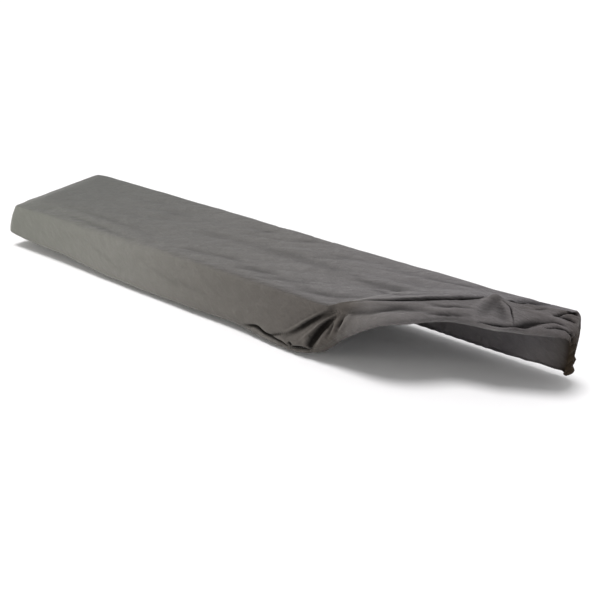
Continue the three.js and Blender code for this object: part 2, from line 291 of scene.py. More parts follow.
# Faint creases of the plain front
FRONT_FOLDS = [
    dict(width=8, height=-1,
         line=[(-509, -113, 84), (-417, -111, 86), (-314, -119, 86), (-226, -130, 85)]),
    dict(width=6, height=-0.6, line=[(-381, -139, 50), (-325, -142, 34), (-267, -144, 13)]),
    dict(width=6, height=-0.6, line=[(-218, -140, 53), (-144, -142, 36), (-81, -144, 21)]),
    dict(width=6, height=-0.6, line=[(-160, -141, 47), (-89, -142, 34), (-21, -142, 28)]),
]

# The point of the folded corner, with the same columns
APEX = dict(width=6, height=3, line=[(484, 55, 124), (496, 64, 130), (508, 71, 126)])

# Soft swales across the top, with the same columns, their lines given on its flat
TOP_FOLDS = [
    dict(width=17, height=-1.7, line=[(-140, 13), (0, 15), (95, 19), (176, 14), (270, 8)]),
    dict(width=12, height=-1.8, line=[(0, -100), (36, -84), (67, -78), (110, -60)]),
    dict(width=11, height=-2, line=[(66, -116), (109, -88), (137, -81), (185, -52)]),
    dict(width=11, height=-2.5, line=[(140, -98), (187, -92), (221, -87), (262, -68), (314, -26)]),
    dict(width=11, height=-1, line=[(-84, 54), (-58, 79), (-34, 110)]),
    dict(width=11, height=-1.2, line=[(10, 76), (47, 99), (75, 130)]),
    dict(width=12, height=-1, line=[(98, 38), (146, 65), (176, 112)]),
    dict(width=11, height=-1.2, line=[(-70, -84), (-32, -72), (5, -62)]),
    dict(width=11, height=-1, line=[(-310, 32), (-269, 44), (-230, 60)]),
    dict(width=11, height=-1, line=[(-180, 1), (-140, 7), (-95, 13)]),
    dict(width=11, height=-1, line=[(-140, -94), (-98, -84), (-55, -75)]),
    dict(width=9, height=-0.9, line=[(-575, -76), (-463, -78), (-350, -76), (-224, -79)]),
    dict(width=12, height=1.2, line=[(-560, -90), (-450, -92), (-300, -93)]),
]

# Steps along the line of a fold, and how many of its widths it reaches to each side
FOLD_STEP = 2
FOLD_REACH = 2.6

# Fine unevenness of the knit, and the wrinkles that add to it at the right of the top
UNEVEN_HEIGHT = 1.0
WRINKLE_HEIGHT = 4
WRINKLE_REACH = 45  # clear of the edges
UNEVEN_FALL = 1
UNEVEN_STEP = 2
UNEVEN_OCTAVES = 3
UNEVEN_LENGTH = 130
UNEVEN_WIDTH = 26
DRAWN_ANGLE = math.radians(18)

# Painted shading: its value on flat cloth, and how strongly a bend, as painted highlight or painted shade,
# and each millimetre of a fold's depth, as painted shade, show
FLAT_SHADING = 0.5
BEND_SHADING = 3.5
SUNK_SHADING = 0.075
PAINTED_SHADING_SPREAD = 2

# Stitches along the hem
STITCH_ROW = 1  # above the turn
STITCH_SPACING = 4.2
STITCH_LENGTH = 3.0
STITCH_RADIUS = 0.35
STITCH_SIDES = 6
STITCH_SHARES = np.array([0, 0.2, 0.8, 1])  # where its rings lie along a stitch
STITCH_SWELL = np.array([0.3, 1, 1, 0.3])  # how thick it is at each ring
STITCH_SEAT = 0.6

# Tones from the left end to the right, from dark to light; from painted highlight on a ridge to painted
# shade in a hollow; and from no painted warm shade to full painted shade with a painted warm reflection
LENGTH_TONES = [(0.120, 0.123, 0.112), (0.174, 0.168, 0.160), (0.209, 0.197, 0.204)]
MOTTLE_TONES = [(0.86, 0.86, 0.86), (1, 1, 1)]
YARN_TONES = [(0.8, 0.8, 0.8), (1, 1, 1)]
PAINTED_SHADING_TONES = [(1, 1, 1), (0.74, 0.74, 0.74), (0.12, 0.12, 0.12)]
WARM_SHADE_TONES = [(1, 1, 1), (0.235, 0.185, 0.12)]
THREAD_TONES = [(0.05, 0.05, 0.05), (0.1, 0.098, 0.094)]

# Sheen and gloss of the cloth and the thread; the cloth's sheen and gloss fade out as painted shade in
# hollows, and down to a share under the painted warm shade
OPEN_GLOSS = 0.15
WARM_SHADE_GLOSS = 0.2  # share that it keeps under full painted warm shade
SHEEN_ROUGHNESS = 0.45
ROUGHNESS = (0.75, 0.95)
THREAD_ROUGHNESS = 0.7

# Fine noises of the cloth and the thread
MOTTLE_NOISE = dict(scale=14, detail=5)
YARN_NOISE = dict(scale=420, detail=2)
ROUGHNESS_NOISE = dict(scale=60, detail=3)
CRINKLE_NOISE = dict(scale=1, detail=4)
TWIST_NOISE = dict(scale=900, detail=2)

# Fine crinkles, in metres
CRINKLE_SIZE = (0.05, 0.012, 0.014)
CRINKLE_HEIGHT = 0.009
CRINKLE_STRENGTH = (0.3, 1)  # at the left and the right end
CRINKLE_SLOPE = math.radians(25)

# The knit's wales, courses and loops, in metres
WALE = 0.0016
COURSE = 0.0013
LOOP_HEIGHT = 0.0005
LOOP_STRENGTH = 0.3
BANDS_PER_SCALE = 20  # the wave texture's own factor

# Camera at the photo's viewing angle
CAMERA_PLACE = (903.8, -1325.3, 652.5)
CAMERA_YAW = math.radians(31.01)
CAMERA_PITCH = math.radians(22.27)
CAMERA_ROLL = math.radians(6.0)
CAMERA_SENSOR = 36.0
CAMERA_LENS = 47.52

# The floor lies just under the hem and sweeps up all round, in metres in the frame of the part
FLOOR_HEIGHT = -0.1225
FLOOR_RINGS = [0.5, 2.0]
FLOOR_RADIUS = 4
FLOOR_SIDES = 96
SWEEP_RADIUS = 12
SWEEP_STEPS = 24
FLOOR_TONE = (0.8, 0.8, 0.8, 1)
FLOOR_ROUGHNESS = 0.9

# Lights, with places in metres in the frame of the part
ROOM_TONE = (1, 1, 1, 1)
ROOM_STRENGTH = 0.45
OVERHEAD = dict(aim=(0.2, 0.12, -1), angle=math.radians(25), strength=2.6, colour=(1, 0.985, 1))
FRONT_PANEL = dict(
    place=(-0.7, -1.1, -0.02), aim=(-0.45, -0.14, -0.04), size=0.2, power=13, colour=(1, 0.98, 0.9),
)


def to_frame(places):
    """Millimetres with heights from the base, as metres in the frame of the part."""
    return (np.asarray(places, float) - (0, 0, MOUNT_HEIGHT)) * MM


def add_object(data):
    """A new object in the scene, with the name of its data."""
    item = bpy.data.objects.new(data.name, data)
    bpy.context.scene.collection.objects.link(item)
    return item


def add_mesh(name, places, faces, material):
    """A new smooth mesh in the scene, its places in metres."""
    mesh = bpy.data.meshes.new(name)
    mesh.from_pydata(places.tolist(), [], faces)
    mesh.shade_smooth()
    mesh.materials.append(material)
    return add_object(mesh)


def add_camera():
    forward = np.array([
        -math.sin(CAMERA_YAW) * math.cos(CAMERA_PITCH),
        math.cos(CAMERA_YAW) * math.cos(CAMERA_PITCH),
        -math.sin(CAMERA_PITCH),
    ])
    level = np.array([math.cos(CAMERA_YAW), math.sin(CAMERA_YAW), 0])
    upright = np.cross(level, forward)
    right = math.cos(CAMERA_ROLL) * level + math.sin(CAMERA_ROLL) * upright
    up = math.cos(CAMERA_ROLL) * upright - math.sin(CAMERA_ROLL) * level
    data = bpy.data.cameras.new("camera")
    data.sensor_width = CAMERA_SENSOR
    data.lens = CAMERA_LENS
    camera = add_object(data)
    turn = Matrix(np.column_stack([right, up, -forward]).tolist()).to_4x4()
    camera.matrix_world = Matrix.Translation(Vector(to_frame(CAMERA_PLACE))) @ turn
    bpy.context.scene.camera = camera


def curve_through(knots, shares):
    """Places at shares of a smooth curve through the knots, which may be stacked curves."""
    knots = np.asarray(knots, float)
    ends = (2 * knots[0] - knots[1], 2 * knots[-1] - knots[-2])
    line = np.concatenate([ends[0][None], knots, ends[1][None]])
    spans = len(knots) - 1
    index = np.clip((np.asarray(shares) * spans).astype(int), 0, spans - 1)
    part = np.asarray(shares) * spans - index
    part = part.reshape(part.shape + (1,) * (knots.ndim - 1))
    a, b, c, d = (line[index + step] for step in range(4))
    gap_before, gap, gap_after = (
        np.sqrt(np.linalg.norm(far - near, axis=-1, keepdims=True))
        for near, far in ((a, b), (b, c), (c, d))
    )
    leave = ((b - a) / gap_before - (c - a) / (gap_before + gap) + (c - b) / gap) * gap
    arrive = ((c - b) / gap - (d - b) / (gap + gap_after) + (d - c) / gap_after) * gap
    square = -3 * b + 3 * c - 2 * leave - arrive
    cube = 2 * b - 2 * c + leave + arrive
    return b + part * (leave + part * (square + part * cube))


def plain_section(x, y, outward, row):
    """A section of a plain wall, with the columns of the lifted wall's rows."""
    across, along = outward

    def place(proud, height):
        return (x + across * proud, y + along * proud, height)

    return dict(
        crest=place(-SHOULDER_INSET, row["top"] - SHOULDER_INSET),
        belly=place(row["out"] * BELLY_SHARE, (row["top"] + row["low"]) / 2),
        turn=place(row["out"], row["low"]),
        hem=place(row["out"] - HEM_TUCK, row["low"] - HEM_DROP),
        wave=row["top"] - SHOULDER_INSET,
        reach=row["reach"],
        gap=0,
        gather=row["gather"],
    )


def corner_section(x, y, row):
    outward = np.sign((x, y))
    return plain_section(*(np.array((x, y)) - outward * CORNER_ROUND), outward / math.sqrt(2), row)


def column_shares(sections, cell):
    """Shares along a row of sections at which the grid's columns lie, about a cell apart."""
    shares = [0.0]
    last = len(sections) - 1
    for index in range(last):
        here, there = sections[index], sections[index + 1]
        span = max(math.dist(here[name], there[name]) for name in ("crest", "turn"))
        cells = max(1, round(span / cell))
        shares.extend((index + step / cells) / last for step in range(1, cells + 1))
    return np.array(shares)


def row_shares():
    """Shares down a wall at which the grid's rows lie."""
    shares = [0.0]
    for index, rows in enumerate(WALL_PARTS):
        shares.extend((index + step / rows) / len(WALL_PARTS) for step in range(1, rows + 1))
    return np.array(shares)


def wall_grid(sections, shares):
    """A wall as columns of places from its shoulder to its hem, with the other values of each column."""
    lines = np.array([
        curve_through([section[name] for section in sections], shares)
        for name in ("crest", "belly", "turn", "hem")
    ])
    wall = dict(places=curve_through(lines, row_shares()).transpose(1, 0, 2))
    known = np.linspace(0, 1, len(sections))
    for name in ("wave", "reach", "gap", "gather"):
        wall[name] = np.interp(shares, known, [section[name] for section in sections])
    return wall


def build_walls():
    front_left = corner_section(LEFT, FRONT, FRONT_LEFT)
    back_left = corner_section(LEFT, BACK, BACK_LEFT)
    back_right = corner_section(RIGHT, BACK, BACK_RIGHT)
    plain = [plain_section(row["x"], FRONT, (0, -1), row) for row in FRONT_WALL]
    front = [front_left, *plain, *LIFTED_WALL, HANGING_WALL[0]]
    right = [*HANGING_WALL, back_right]
    straight = [plain_section(row["crest"][0], BACK, (0, 1), BACK_WALL) for row in front[1:-1]]
    back = [back_left, *straight, back_right]
    left = [front_left]
    for share in np.linspace(0, 1, len(right))[1:-1]:
        depth = share ** FRONT_CROWDING
        top = FRONT_LEFT["top"] + (BACK_LEFT["top"] - FRONT_LEFT["top"]) * depth
        left.append(plain_section(LEFT, FRONT + DEPTH * depth, (-1, 0), dict(LEFT_WALL, top=top)))
    left.append(back_left)
    split = FINE_FROM
    along = np.concatenate([
        column_shares(front[:split + 1], PLAIN_CELL) * split,
        split + column_shares(front[split:], FINE_CELL)[1:] * (len(front) - 1 - split),
    ]) / (len(front) - 1)
    across = column_shares(right, FINE_CELL)
    return dict(
        front=wall_grid(front, along),
        right=wall_grid(right, across),
        back=wall_grid(back, along),
        left=wall_grid(left, across),
    )


def top_plane(y):
    """Height of the flat of the top, which rises towards the back."""
    return FRONT_HEIGHT + (y - FRONT) / DEPTH * (BACK_HEIGHT - FRONT_HEIGHT)


def fade(distance, reach):
    """Share of a shoulder's rise or drop that is left at a distance behind it."""
    return (1 + np.cos(math.pi * np.minimum(distance / reach, 1))) / 2


def painted_warm_shade_share(wall, along):
    """How much painted warm shade lies along the shoulder of a wall, from 0 to 1."""
    return np.interp(wall["places"][:, 0, 0], along["x"], along["share"])


def build_top(walls):
    """The top as a grid stretched between the four shoulders, with all columns but the lift of the hem."""
    crest = {name: wall["places"][:, 0] for name, wall in walls.items()}
    rise = {name: wall["wave"] - top_plane(crest[name][:, 1]) for name, wall in walls.items()}
    share = (crest["back"][:, 0] - crest["back"][0, 0]) / np.ptp(crest["back"][:, 0])
    near_right = (share ** END_BLEND)[:, None, None]
    near_left = ((1 - share) ** END_BLEND)[:, None, None]
    left_depth = (np.linspace(0, 1, len(crest["left"])) ** FRONT_CROWDING)[None, :, None]
    right_depth = (crest["right"][:, 0] - crest["right"][0, 0]) / np.ptp(crest["right"][:, 0])
    right_depth = right_depth[None, :, None]
    start, end = crest["front"][:, None], crest["back"][:, None]
    depth = left_depth + (right_depth - left_depth) * near_right
    places = start + (end - start) * depth
    places = places + near_right * (crest["right"][None] - (start + (end - start) * right_depth)[-1:])
    places = places + near_left * (crest["left"][None] - (start + (end - start) * left_depth)[:1])

    def behind(name, lines):
        return np.linalg.norm(places[..., :2] - crest[name][lines][..., :2], axis=-1)

    every = slice(None)
    lines = dict(front=(every, None), back=(every, None), left=(None, every), right=(None, every))
    by = {name: fade(behind(name, lines[name]), walls[name]["reach"][lines[name]]) for name in lines}
    places[..., 2] = (
        top_plane(places[..., 1])
        + rise["front"][:, None] * by["front"] + rise["back"][:, None] * by["back"]
        + rise["left"][None] * by["left"] + rise["right"][None] * by["right"]
        - rise["front"][0] * by["front"] * by["left"] - rise["front"][-1] * by["front"] * by["right"]
        - rise["back"][0] * by["back"] * by["left"] - rise["back"][-1] * by["back"] * by["right"]
    )
    distance = behind("front", lines["front"])[..., None]
    proud = crest["front"][:, 2] - walls["front"]["wave"]
    places[..., 2] += proud[:, None] * np.exp(-((distance[..., 0] / RIDGE_WIDTH) ** 2))
    gap = np.broadcast_to(walls["front"]["gap"][:, None, None], distance.shape)
    forward = (start - places)[..., :2] / np.maximum(distance, NEAR_CREST)
    # painted warm shade along the front shoulder, fading over the top
    painted_warm_shade = painted_warm_shade_share(walls["front"], WARM_SHADE_FRONT)[:, None, None] * fade(distance, WARM_SHADE_REACH)
    return np.concatenate([places, distance, gap, forward, painted_warm_shade], -1)


def grid_quads(values):
    """What a grid of points holds, at the four corners of each of its quads."""
    corners = [values[:-1, :-1], values[1:, :-1], values[1:, 1:], values[:-1, 1:]]
    return np.stack(corners, 2).reshape(-1, 4, *values.shape[2:])


def running_length(places):
    """Length along each line of places, from its start."""
    steps = np.linalg.norm(np.diff(places, axis=0), axis=-1)
    return np.concatenate([np.zeros_like(steps[:1]), np.cumsum(steps, 0)])


def hang_painted_warm_shade(places):
    """How much more painted warm shade the hanging end gets, towards its hem."""
    right = np.clip((places[..., 0] - HANG_FROM) / HANG_BLEND, 0, 1)
    low = np.clip((HANG_TOP - places[..., 2]) / HANG_FALL, 0, 1)
    return HANG_WARM_SHADE * right * low


def build_surface():
    """The sheet's outer face as one table of points, its quads, their flat corners, and the numbers of
    its points in columns down the walls."""
    walls = build_walls()
    top = build_top(walls)
    columns, rows = top.shape[0] - 1, top.shape[1] - 1

    def around(front, right, back, left):
        return np.concatenate([front[:columns], right[:rows], back[1:][::-1], left[1:][::-1]])

    strips = around(*(walls[side]["places"] for side in SIDES))
    gather = around(*(walls[side]["gather"] for side in SIDES))
    # painted warm shade along the shoulders, with more on the hanging end
    painted_warm_shade = around(
        painted_warm_shade_share(walls["front"], WARM_SHADE_FRONT),
        painted_warm_shade_share(walls["right"], WARM_SHADE_FRONT),
        painted_warm_shade_share(walls["back"], WARM_SHADE_BACK),
        np.zeros(rows + 1),
    )
    depth = strips.shape[1] - 1
    bare = np.zeros((len(strips), depth, WARM_SHADE - BEHIND))
    painted_warm_shade = painted_warm_shade[:, None] + hang_painted_warm_shade(strips[:, 1:])
    hung = np.concatenate([strips[:, 1:], bare, painted_warm_shade[..., None]], -1)
    top_numbers = np.arange(top[..., 0].size).reshape(top.shape[:2])
    edge = around(top_numbers[:, 0], top_numbers[-1], top_numbers[:, -1], top_numbers[0])
    wall_numbers = top_numbers.size + np.arange(len(strips) * depth).reshape(len(strips), depth)
    numbers = np.concatenate([edge[:, None], wall_numbers], 1)
    table = np.concatenate([top.reshape(-1, top.shape[-1]), hung.reshape(-1, top.shape[-1])])
    closed = np.concatenate([strips, strips[:1]])
    along = np.repeat(running_length(closed[:, :1]), depth + 1, 1)
    down = running_length(closed.transpose(1, 0, 2)).T
    return dict(
        table=np.column_stack([table, hem_lift(strips, gather, numbers, len(table))]),
        quads=np.concatenate([
            grid_quads(top_numbers),
            grid_quads(np.concatenate([numbers, numbers[:1]]))[:, ::-1],
        ]),
        flat=np.concatenate([
            grid_quads(top[..., :2]),
            grid_quads(np.stack([along, -down], -1))[:, ::-1],
        ]) * MM,
        numbers=numbers,
    )


def hem_lift(strips, gather, numbers, count):
    """Waves along the hem, strongest at its edge, as the elastic draws them in, and the casing's bulge."""
    casing = WALL_PARTS[-1] + 1
    turn = strips[:, -casing]
    path = np.cumsum(np.linalg.norm(np.diff(turn, axis=0, prepend=turn[:1]), axis=1))
    wander = np.array([noise.noise((place / WANDER_LENGTH, 0, 0)) for place in path])
    wave = np.sin(2 * math.pi * path / GATHER_PITCH + GATHER_WANDER * wander)
    up = np.linalg.norm(strips - turn[:, None], axis=-1)
    lift = np.zeros(count)
    lift[numbers] = (gather * wave)[:, None] * np.exp(-((up / GATHER_HEIGHT) ** 2))
    lift[numbers[:, -casing:]] += np.sin(np.linspace(0, math.pi, casing)) * CASING_BULGE
    return lift


def vertex_normals(points, polygons):
    mesh = bpy.data.meshes.new("normals")
    mesh.from_pydata(points.tolist(), [], polygons)
    normals = np.empty(points.size)
    mesh.vertex_normals.foreach_get("vector", normals)
    bpy.data.meshes.remove(mesh)
    return normals.reshape(-1, 3)


def edge_pairs(polygons):
    """The two ends of every edge, each edge once."""
    pairs = [pair for polygon in polygons for pair in zip(polygon, polygon[1:] + polygon[:1])]
    return np.unique(np.sort(pairs, 1), axis=0)


def neighbour_mean(values, pairs):
    """The mean of what a point's neighbours hold."""
    count = np.bincount(pairs.ravel(), minlength=len(values))
    total = np.zeros_like(values)
    np.add.at(total, pairs[:, 0], values[pairs[:, 1]])
    np.add.at(total, pairs[:, 1], values[pairs[:, 0]])
    return total / np.maximum(count, 1).reshape(-1, *(1,) * (values.ndim - 1))


def smooth(points, pairs, share, passes):
    """Draws each point by its share towards the middle of its neighbours, several times."""
    for _ in range(passes):
        points = points + (neighbour_mean(points, pairs) - points) * share[:, None]
    return points


def soft_share(points):
    """Where the shoulder is slack, from 0 to 1."""
    x, y = points[:, 0], points[:, 1]
    left = np.clip((x - SOFT_ENDS[0]) / SOFT_BLEND, 0, 1)
    right = np.clip((SOFT_ENDS[1] - x) / SOFT_BLEND, 0, 1)
    front = np.clip((SOFT_BACK - y) / SOFT_BACK_BLEND, 0, 1)
    return left * right * front


def all_folds():
    """Every fold but the point of the corner, those of the top laid on its flat."""
    laid = [dict(fold, line=[(x, y, top_plane(y)) for x, y in fold["line"]]) for fold in TOP_FOLDS]
    return [*FAN_FOLDS, *FLAP_FOLDS, *BEHIND_FOLDS, *CORNER_FOLDS, *END_FOLDS, *FRONT_FOLDS, *laid]


def place_folds(folds):
    """Folds with close places on the line of each, and their shares along it."""
    placed = []
    for fold in folds:
        length = running_length(np.array(fold["line"], float))[-1]
        shares = np.linspace(0, 1, math.ceil(length / FOLD_STEP) + 1)
        placed.append(dict(fold, places=curve_through(fold["line"], shares), shares=shares))
    return placed


def near_fold(points, fold, reach):
    """Numbers of the points near a fold, their distance from its line and their share along it."""
    low, high = fold["places"].min(0) - reach, fold["places"].max(0) + reach
    near = np.flatnonzero(np.all((points > low) & (points < high), 1))
    apart = np.linalg.norm(points[near, None] - fold["places"], axis=-1)
    closest = apart.argmin(1)
    return near, apart[np.arange(len(near)), closest], fold["shares"][closest]


def fold_height(points, folds):
    """How far the folds raise or sink the sheet, with soft sections and tapered ends."""
    height = np.zeros(len(points))
    for fold in folds:
        near, distance, along = near_fold(points, fold, fold["width"] * FOLD_REACH)
        taper = 1 - (2 * along - 1) ** 2
        height[near] += fold["height"] * taper * np.exp(-((distance / fold["width"]) ** 2))
    return height


def wide_cells(table, cells, folds):
    """Which cells are too wide for a fold, or for the crevice, that crosses them."""
    corners = table[cells]
    centres = corners.mean(1)
    sides = (corners - np.roll(corners, 1, 1))[..., PLACE]
    size = np.linalg.norm(sides, axis=-1).max(1)
    deep = (centres[:, GAP] > CREVICE_LEAST) & (centres[:, BEHIND] < CREVICE_REACH)
    wide = deep & (size > CREVICE_CELL)
    for fold in folds:
        near, apart, _ = near_fold(centres[:, PLACE], fold, fold["width"] * CUT_REACH + PLAIN_CELL)
        close = apart < fold["width"] * CUT_REACH + size[near] / 2
        wide[near[close & (size[near] > fold["width"] * CELL_SHARE)]] = True
    return wide


def refine(surface, folds):
    """Cuts cells that are too wide in four, several times over. Adds the middle of each edge that was
    cut, by its two ends, to the surface."""
    rows = list(surface["table"])
    cells, flat = surface["quads"], surface["flat"]
    middles = {}

    def middle(first, second):
        edge = (min(first, second), max(first, second))
        if edge not in middles:
            middles[edge] = len(rows)
            rows.append((rows[first] + rows[second]) / 2)
        return middles[edge]

    for _ in range(REFINEMENTS):
        wide = wide_cells(np.array(rows), cells, folds)
        cut_cells, cut_flat = [], []
        for cell, corners in zip(cells[wide].tolist(), flat[wide]):
            edges = [middle(*ends) for ends in zip(cell, cell[1:] + cell[:1])]
            sides = (corners + np.roll(corners, -1, 0)) / 2
            centre = len(rows)
            rows.append(np.mean([rows[number] for number in cell], 0))
            for turn in range(4):
                cut_cells.append([cell[turn], edges[turn], centre, edges[turn - 1]])
                cut_flat.append([corners[turn], sides[turn], corners.mean(0), sides[turn - 1]])
        cells = np.concatenate([cells[~wide], cut_cells])
        flat = np.concatenate([flat[~wide], cut_flat])
        table = np.array(rows)
        share = np.zeros(len(table))
        share[np.unique(cut_cells)] = SMOOTHING
        table[:, PLACE] = smooth(table[:, PLACE], edge_pairs(cells.tolist()), share, CUT_PASSES)
        rows = list(table)
    return dict(surface, table=table, quads=cells, flat=flat, middles=middles)


def split_edge(middles, first, second, start=0, end=1):
    """The points from the first up to the second along an edge that may be cut, with their shares."""
    middle = middles.get((min(first, second), max(first, second)))
    if middle is None:
        return [(first, start)]
    half = (start + end) / 2
    return split_edge(middles, first, middle, start, half) + split_edge(middles, middle, second, half, end)


def split_loop(middles, loop):
    """A closed line of points with those of its cut edges."""
    ends = zip(loop.tolist(), np.roll(loop, -1).tolist())
    return np.array([number for pair in ends for number, _ in split_edge(middles, *pair)])


def outline_cells(surface):
    """Each cell as a polygon that takes up the points of its neighbours' cuts, with its flat corners."""
    polygons, outlines = [], []
    for cell, corners in zip(surface["quads"].tolist(), surface["flat"]):
        polygon, outline = [], []
        for turn in range(4):
            here, there = corners[turn], corners[(turn + 1) % 4]
            for number, share in split_edge(surface["middles"], cell[turn], cell[(turn + 1) % 4]):
                polygon.append(number)
                outline.append(here + (there - here) * share)
        polygons.append(polygon)
        outlines.append(outline)
    return polygons, outlines


def painted_shading_tone(points, normals, pairs, sunk):
    """Painted shading, from 0 on a ridge, where it paints a highlight, to 1 in a hollow or a deep fold,
    where it paints shade, with the flat value where the sheet is flat.
    """
    length = np.linalg.norm(points[pairs[:, 0]] - points[pairs[:, 1]], axis=1)
    span = np.bincount(pairs.ravel(), np.repeat(length, 2)) / np.bincount(pairs.ravel())
    bend = np.sum((neighbour_mean(points, pairs) - points) * normals, 1) / span ** 2
    for _ in range(PAINTED_SHADING_SPREAD):
        bend = (bend + neighbour_mean(bend, pairs)) / 2
    return np.clip(FLAT_SHADING + bend * BEND_SHADING + sunk * SUNK_SHADING, 0, 1)


def uneven_height(points, distance):
    """Low waves of the knit along the direction it is drawn in, higher on the right of the top."""
    along = points[:, 0] * math.cos(DRAWN_ANGLE) + points[:, 1] * math.sin(DRAWN_ANGLE)
    across = points[:, 1] * math.cos(DRAWN_ANGLE) - points[:, 0] * math.sin(DRAWN_ANGLE)
    places = np.stack([along / UNEVEN_LENGTH, across / UNEVEN_WIDTH, points[:, 2] / UNEVEN_WIDTH], 1)
    edge = np.clip(np.minimum(distance, BACK - points[:, 1]) / WRINKLE_REACH, 0, 1)
    height = UNEVEN_HEIGHT + WRINKLE_HEIGHT * edge * (points[:, 0] - LEFT) / LENGTH
    kind = (UNEVEN_FALL, UNEVEN_STEP, UNEVEN_OCTAVES)
    return height * np.array([noise.fractal(place, *kind) for place in places])


def sink_crevice(table):
    """The points with the crevice sunk behind the lifted ridge, and how deep it is at each."""
    distance, gap = table[:, BEHIND], table[:, GAP]
    sink = gap * np.exp(-(((distance - CREVICE_BACK) / CREVICE_WIDTH) ** CREVICE_STEEPNESS))
    lap = LAP * gap * np.exp(-(((distance - LAP_BACK) / LAP_WIDTH) ** 2))
    points = table[:, PLACE].copy()
    points[:, :2] += table[:, FORWARD] * lap[:, None]
    points[:, 2] -= sink
    return points, sink


def shape_sheet():
    """The sheet's outer face with its folds: points, normals and polygons with their flat corners, the
    painted shading and the painted warm shade, and the numbers of the points along the hem and along the
    stitches."""
    surface = build_surface()
    numbers, table = surface["numbers"], surface["table"]
    pairs = edge_pairs(surface["quads"].tolist())
    share = np.full(len(table), SMOOTHING)
    share[numbers[:, -1]] = 0
    table[:, PLACE] = smooth(table[:, PLACE], pairs, share, SMOOTHING_PASSES)
    table[:, PLACE] = smooth(table[:, PLACE], pairs, share * soft_share(table), SOFT_PASSES)
    folds, apex = place_folds(all_folds()), place_folds([APEX])
    surface = refine(surface, folds + apex)
    table, middles = surface["table"], surface["middles"]
    polygons, outlines = outline_cells(surface)
    points, sink = sink_crevice(table)
    raised = fold_height(points, folds)
    lift = raised + fold_height(points, apex) + uneven_height(points, table[:, BEHIND]) + table[:, HEM_LIFT]
    points = points + vertex_normals(points, polygons) * lift[:, None]
    normals = vertex_normals(points, polygons)
    return dict(
        points=points,
        normals=normals,
        polygons=polygons,
        outlines=outlines,
        # painted shade in the crevice, hollows and deep folds, and painted highlights on ridges
        painted_shading=painted_shading_tone(points, normals, edge_pairs(polygons), sink - raised),
        painted_warm_shade=table[:, WARM_SHADE],
        hem=split_loop(middles, numbers[:, -1]),
        stitched=split_loop(middles, numbers[:, -1 - WALL_PARTS[-1] - STITCH_ROW]),
    )


def make_cover(sheet):
    """The whole cloth as one sheet with an outer and an inner face, closed along its hem."""
    points, polygons, outlines = sheet["points"], sheet["polygons"], sheet["outlines"]
    count = len(points)
    hem, following = sheet["hem"], np.roll(sheet["hem"], -1)
    rim = np.stack([hem, hem + count, following + count, following], 1).tolist()
    inner = [[number + count for number in reversed(polygon)] for polygon in polygons]
    flat = [corner for outline in outlines for corner in outline]
    flat += [corner for outline in outlines for corner in reversed(outline)]
    flat += [(0, 0)] * np.size(rim)
    places = to_frame(np.concatenate([points, points - sheet["normals"] * SHEET]))
    cover = add_mesh("dust_cover", places, polygons + inner + rim, knit_material())
    cover.data.uv_layers.new(name="flat").data.foreach_set("uv", np.array(flat).ravel())
    # painted shading and painted warm shade, kept on the points for the knit's colour
    for name in ("painted_shading", "painted_warm_shade"):
        attribute = cover.data.attributes.new(name, "FLOAT", "POINT")
        attribute.data.foreach_set("value", np.tile(sheet[name], 2))
    return cover


def make_stitches(sheet):
    """Short rounded stitches along their row of the sheet."""
    row = np.append(sheet["stitched"], sheet["stitched"][0])
    line, normals = sheet["points"][row], sheet["normals"][row]
    length = running_length(line)

    def at(values, places):
        return np.stack([np.interp(places, length, values[:, axis]) for axis in range(3)], -1)

    starts = np.arange(0, length[-1] - STITCH_LENGTH, STITCH_SPACING)
    places = starts[:, None] + STITCH_SHARES * STITCH_LENGTH
    middle, proud = at(line, places), at(normals, places)
    middle = middle + proud * (STITCH_RADIUS * (STITCH_SWELL - STITCH_SEAT))[None, :, None]
    ahead = at(line, starts + STITCH_LENGTH) - at(line, starts)
    side = np.cross(ahead[:, None], proud)
    side /= np.linalg.norm(side, axis=-1, keepdims=True)
    turn = np.linspace(0, 2 * math.pi, STITCH_SIDES, endpoint=False)[:, None]
    around = np.cos(turn) * side[:, :, None] + np.sin(turn) * proud[:, :, None]
    rings = middle[:, :, None] + around * (STITCH_RADIUS * STITCH_SWELL)[None, :, None, None]
    numbers = np.arange(rings[..., 0].size).reshape(rings.shape[:-1])
    faces = []
    for stitch in numbers:
        faces += grid_quads(np.concatenate([stitch, stitch[:, :1]], 1)).tolist()
        faces += [stitch[0].tolist(), stitch[-1, ::-1].tolist()]
    return add_mesh("hem_stitches", to_frame(rings.reshape(-1, 3)), faces, thread_material())


def declare_pieces(cover, stitches):
    """Says which body the pieces ride on, and hides the model's part that they stand for."""
    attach(cover, "root")
    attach(stitches, "root")
    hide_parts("cover")


def add_ramp(tree, factor, tones):
    """A colour ramp through evenly spaced tones."""
    ramp = tree.nodes.new("ShaderNodeValToRGB")
    stops = ramp.color_ramp.elements
    while len(stops) < len(tones):
        stops.new(0.5)
    for index, tone in enumerate(tones):
        stops[index].position = index / (len(tones) - 1)
        stops[index].color = (*tone, 1)
    tree.links.new(factor, ramp.inputs["Fac"])
    return ramp.outputs["Color"]


def add_noise(tree, place, scale, detail):
    texture = tree.nodes.new("ShaderNodeTexNoise")
    texture.inputs["Scale"].default_value = scale
    texture.inputs["Detail"].default_value = detail
    tree.links.new(place, texture.inputs["Vector"])
    return texture.outputs["Fac"]


def add_bump(tree, height, distance):
    bump = tree.nodes.new("ShaderNodeBump")
    bump.inputs["Distance"].default_value = distance
    tree.links.new(height, bump.inputs["Height"])
    return bump


def add_bands(tree, place, direction, pitch):
    texture = tree.nodes.new("ShaderNodeTexWave")
    texture.bands_direction = direction
    texture.inputs["Scale"].default_value = 2 * math.pi / (BANDS_PER_SCALE * pitch)
    tree.links.new(place, texture.inputs["Vector"])
    return texture.outputs["Fac"]


